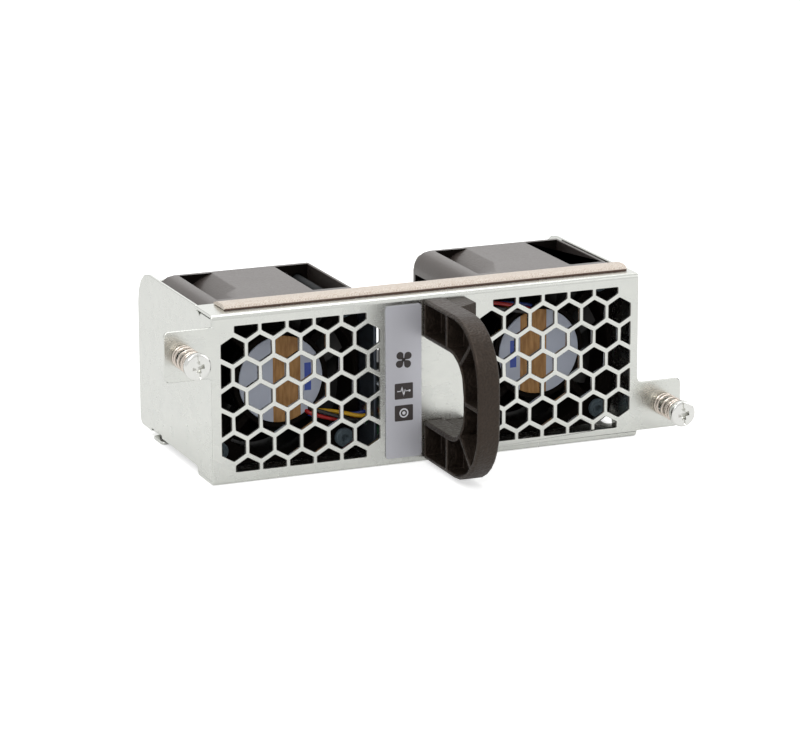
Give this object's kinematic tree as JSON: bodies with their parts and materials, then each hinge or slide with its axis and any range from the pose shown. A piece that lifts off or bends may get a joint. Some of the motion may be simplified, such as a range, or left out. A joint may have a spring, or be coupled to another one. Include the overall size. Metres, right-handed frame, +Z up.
{
  "type": "switch fan tray",
  "caption": "Pull-out sheet-metal tray with two framed axial fans behind honeycomb grilles, a loop handle, a shielding gasket and sprung captive screws.",
  "frame": {"origin": "centre of the faceplate's front face", "axes": "+X to the right seen from outside, +Y into the chassis, along the fans' axes, +Z up"},
  "size_m": [0.1336, 0.087, 0.0425],
  "materials": {
    "zinc": "bright zinc-plated sheet, satin",
    "dark_zinc": "dark blue-grey coat, satin",
    "black_nylon": "fine moulded grain, matte",
    "black_fan": "smooth moulded, semi-matte",
    "cloth": "conductive cloth, woven",
    "foam": "open-cell foam, dark",
    "label": "printed film, satin",
    "rubber": "dark blue-grey, matte",
    "steel": "bright nickel plate",
    "spring": "drawn wire, bright",
    "board": "solder mask, satin",
    "connector": "moulded, satin",
    "ivory": "natural nylon, satin",
    "lamination": "varnished core and enamelled wire",
    "magnet": "dark bonded magnet in a steel cup",
    "acrylic": "clear moulding",
    "wire": "wire insulation, satin"
  },
  "bodies": {
    "tray": {"tray_body": "zinc", "rear_frame": "zinc", "centre_bracket": "dark_zinc", "handle": "black_nylon", "gasket_cloth": "cloth", "gasket_foam": "foam", "label_plate": "label", "handle_screw_top": "steel", "handle_screw_bottom": "steel", "bracket_rivet_front": "steel", "bracket_rivet_rear": "steel", "frame_rivet_left": "steel", "frame_rivet_right": "steel", "fan_board": "board", "board_support_front": "ivory", "board_support_rear": "ivory", "light_guide": "acrylic", "rear_connector": "connector", "fan_housing_left": "black_fan", "hub_label_left": "label", "driver_board_left": "board", "stator_left": "lamination", "bearing_front_left": "steel", "bearing_rear_left": "steel", "fan_pin_left_1": "rubber", "fan_pin_left_2": "rubber", "fan_pin_left_3": "rubber", "fan_pin_left_4": "rubber", "fan_lead_left": "wire", "fan_plug_left": "ivory", "fan_header_left": "ivory", "captive_spring_left": "spring", "fan_housing_right": "black_fan", "hub_label_right": "label", "driver_board_right": "board", "stator_right": "lamination", "bearing_front_right": "steel", "bearing_rear_right": "steel", "fan_pin_right_1": "rubber", "fan_pin_right_2": "rubber", "fan_pin_right_3": "rubber", "fan_pin_right_4": "rubber", "fan_lead_right": "wire", "fan_plug_right": "ivory", "fan_header_right": "ivory", "captive_spring_right": "spring"},
    "rotor_left": {"impeller_left": "black_fan", "magnet_yoke_left": "magnet", "shaft_left": "steel", "shaft_clip_left": "steel"},
    "rotor_right": {"impeller_right": "black_fan", "magnet_yoke_right": "magnet", "shaft_right": "steel", "shaft_clip_right": "steel"},
    "ring_left": {"captive_ring_left": "steel"},
    "screw_left": {"captive_screw_left": "steel"},
    "ring_right": {"captive_ring_right": "steel"},
    "screw_right": {"captive_screw_right": "steel"}
  },
  "joints": [
    {"name": "fan_spin_left", "type": "hinge", "parent": "tray", "child": "rotor_left", "pos_m": [-0.0337, 0.025, 0.0005], "axis": [0, 1, 0], "continuous": true},
    {"name": "fan_spin_right", "type": "hinge", "parent": "tray", "child": "rotor_right", "pos_m": [0.0337, 0.025, 0.0005], "axis": [0, 1, 0], "continuous": true},
    {"name": "captive_push_left", "type": "slide", "parent": "tray", "child": "ring_left", "axis": [0, 1, 0], "range_m": [0, 0.004], "stiffness_N_per_m": 300, "springref_m": -0.002, "deforming": ["captive_spring_left"]},
    {"name": "captive_turn_left", "type": "hinge", "parent": "ring_left", "child": "screw_left", "pos_m": [-0.0622, 0, 0.0117], "axis": [0, 1, 0], "continuous": true},
    {"name": "captive_push_right", "type": "slide", "parent": "tray", "child": "ring_right", "axis": [0, 1, 0], "range_m": [0, 0.004], "stiffness_N_per_m": 300, "springref_m": -0.002, "deforming": ["captive_spring_right"]},
    {"name": "captive_turn_right", "type": "hinge", "parent": "ring_right", "child": "screw_right", "pos_m": [0.0622, 0, -0.0129], "axis": [0, 1, 0], "continuous": true}
  ]
}
